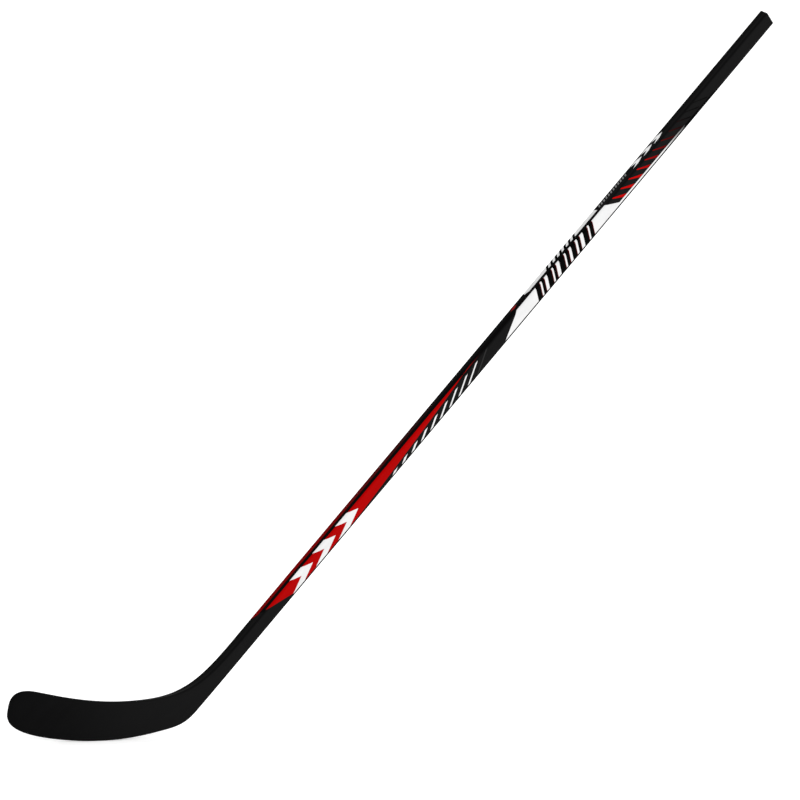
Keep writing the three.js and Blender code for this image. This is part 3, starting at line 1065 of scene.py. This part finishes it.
def narrow_panel():
    panel = [
        (930, narrow(NARROW_LOW)),
        (1108, narrow(NARROW_LOW)),
        (1104, narrow(NARROW_HIGH)),
        (921, narrow(NARROW_HIGH)),
        (921, narrow(3.5)),
        (926, narrow(2.2)),
    ]
    # painted shade: the narrow panel is the same white, painted darker for the narrow face's shade
    film("narrow_panel", [panel], painted("shaded_narrow_white", SHADED_NARROW_WHITE), mirror=False)
    bars = [slanted(975 + 11.5 * k, 5.5, 6, narrow(NARROW_LOW), narrow(NARROW_HIGH)) for k in range(7)]
    film("narrow_bars", bars, DEEP_PAINT, layer=2, mirror=False)
    ticks = [slanted(1113 + 6.2 * k, 3.4, 2, narrow(0.8), narrow(4.6)) for k in range(12)]
    film("narrow_ticks", ticks, painted("tick_grey", TICK_GREY), mirror=False)
    marks = [chevron(1200 + 27 * k, 26, 14, narrow(-1.6), narrow(5.2)) for k in range(3)]
    film("narrow_chevrons", marks, WHITE_PAINT, mirror=False)


def slashes():
    """Eleven slashes that slope down the face, thinner and darker up the shaft."""
    outlines = []
    for k in range(11):
        far_end = 1140 + 21 * k
        near_end = 1164 + 21.4 * k
        width = 8.4 - 0.45 * k
        outlines.append([
            (near_end - width, wide(9)),
            (near_end, wide(9)),
            (far_end, wide(26)),
            (far_end - 0.4 * width, wide(26)),
        ])
    material = painted(
        "slash_red", SLASH_RED, RED_SPECULAR, fade=(1205, 1335), faded=DEEP_BLACK, haste=2.5)
    film("slashes", outlines, material)


WHITE_PAINT = painted("signal_white", WHITE)
DEEP_PAINT = painted("deep_black", DEEP_BLACK, specular=0.01)

red_wedge()
narrow_stripe()
black_band()
wedge_marks()
dashes()
white_panel()
panel_bars()
narrow_panel()
slashes()

# ---- The CAD parts inside ----


def repaint(material, *nodes):
    for node in nodes:
        for slot in frame["nodes"][node].material_slots:
            slot.material = material


repaint(foam(), "foam_core_toe", "foam_core_upper", "foam_core_lower")
repaint(raw_laminate(), "core_rib", "hosel_tenon")
repaint(glue("epoxy_film"), "tenon_adhesive")
repaint(glue("hot_melt"), "butt_plug_glue")

# ---- Camera, floor and light, in metres ----

CAMERA_AZIMUTH = -45.978
CAMERA_ELEVATION = 15.681
CAMERA_ROLL = 10.365
CAMERA_DISTANCE = 15.0146
CAMERA_LENS = 425.50                          # mm
CAMERA_SENSOR = 36                            # mm
AIM_RIGHT = 0.00543                           # from the middle of the model's box
AIM_UP = -0.04940
FLOOR_HALF = 150
FLOOR_DROP = 0.0002                           # below the stick's lowest point
WORLD_LIGHT = 1.02


def camera():
    azimuth, elevation, roll = map(math.radians, (CAMERA_AZIMUTH, CAMERA_ELEVATION, CAMERA_ROLL))
    back = Vector((
        math.sin(azimuth) * math.cos(elevation),
        -math.cos(azimuth) * math.cos(elevation),
        math.sin(elevation),
    ))
    right = Vector((math.cos(azimuth), math.sin(azimuth), 0))
    up = back.cross(right)
    turn = Matrix.Rotation(roll, 3, back)
    right = turn @ right
    up = turn @ up
    middle = (cad_bounds[0] + cad_bounds[1]) / 2
    data = bpy.data.cameras.new("camera")
    data.sensor_width = CAMERA_SENSOR
    data.lens = CAMERA_LENS
    data.clip_start = 0.1
    data.clip_end = 300
    made = bpy.data.objects.new("camera", data)
    place = middle + right * AIM_RIGHT + up * AIM_UP + back * CAMERA_DISTANCE
    made.matrix_world = Matrix((right, up, back)).transposed().to_4x4()
    made.location = place
    bpy.context.scene.collection.objects.link(made)
    bpy.context.scene.camera = made


def floor():
    half = FLOOR_HALF
    shader = Shader("floor_paint")
    shader.set(Specular_IOR_Level=0.1, Emission_Color=(1, 1, 1, 1), Emission_Strength=0.3)
    cloud = shader.noise((3, 3, 3), detail=3.0)
    shader.drive("Base Color", shader.mixed(cloud, (0.93, 0.93, 0.93), (0.9, 0.9, 0.9)))
    shader.drive("Roughness", shader.ranged(cloud, 0.3, 0.7, 0.7, 0.8))
    mesh = bpy.data.meshes.new("floor")
    corners = [(-half, -half), (half, -half), (half, half), (-half, half)]
    mesh.from_pydata([(x, y, -FLOOR_DROP) for x, y in corners], [], [(0, 1, 2, 3)])
    mesh.materials.append(shader.material)
    made = bpy.data.objects.new("floor", mesh)
    bpy.context.scene.collection.objects.link(made)


def soft_light(name, place, size, power):
    data = bpy.data.lights.new(name, "AREA")
    data.shape = "DISK"
    data.size = size
    data.energy = power
    made = bpy.data.objects.new(name, data)
    middle = (cad_bounds[0] + cad_bounds[1]) / 2
    made.location = middle + Vector(place)
    made.rotation_mode = "QUATERNION"
    made.rotation_quaternion = Vector(place).to_track_quat("Z", "Y")
    bpy.context.scene.collection.objects.link(made)


def lights():
    world = bpy.data.worlds.new("studio")
    world.use_nodes = True
    world.node_tree.nodes["Background"].inputs["Color"].default_value = (1, 1, 1, 1)
    world.node_tree.nodes["Background"].inputs["Strength"].default_value = WORLD_LIGHT
    bpy.context.scene.world = world
    soft_light("key", (3.0, -4.5, 4.0), 4.0, 100)
    soft_light("fill", (-4.0, 3.0, 5.0), 5.0, 60)
    bpy.context.scene.view_settings.view_transform = "Standard"


camera()
floor()
lights()
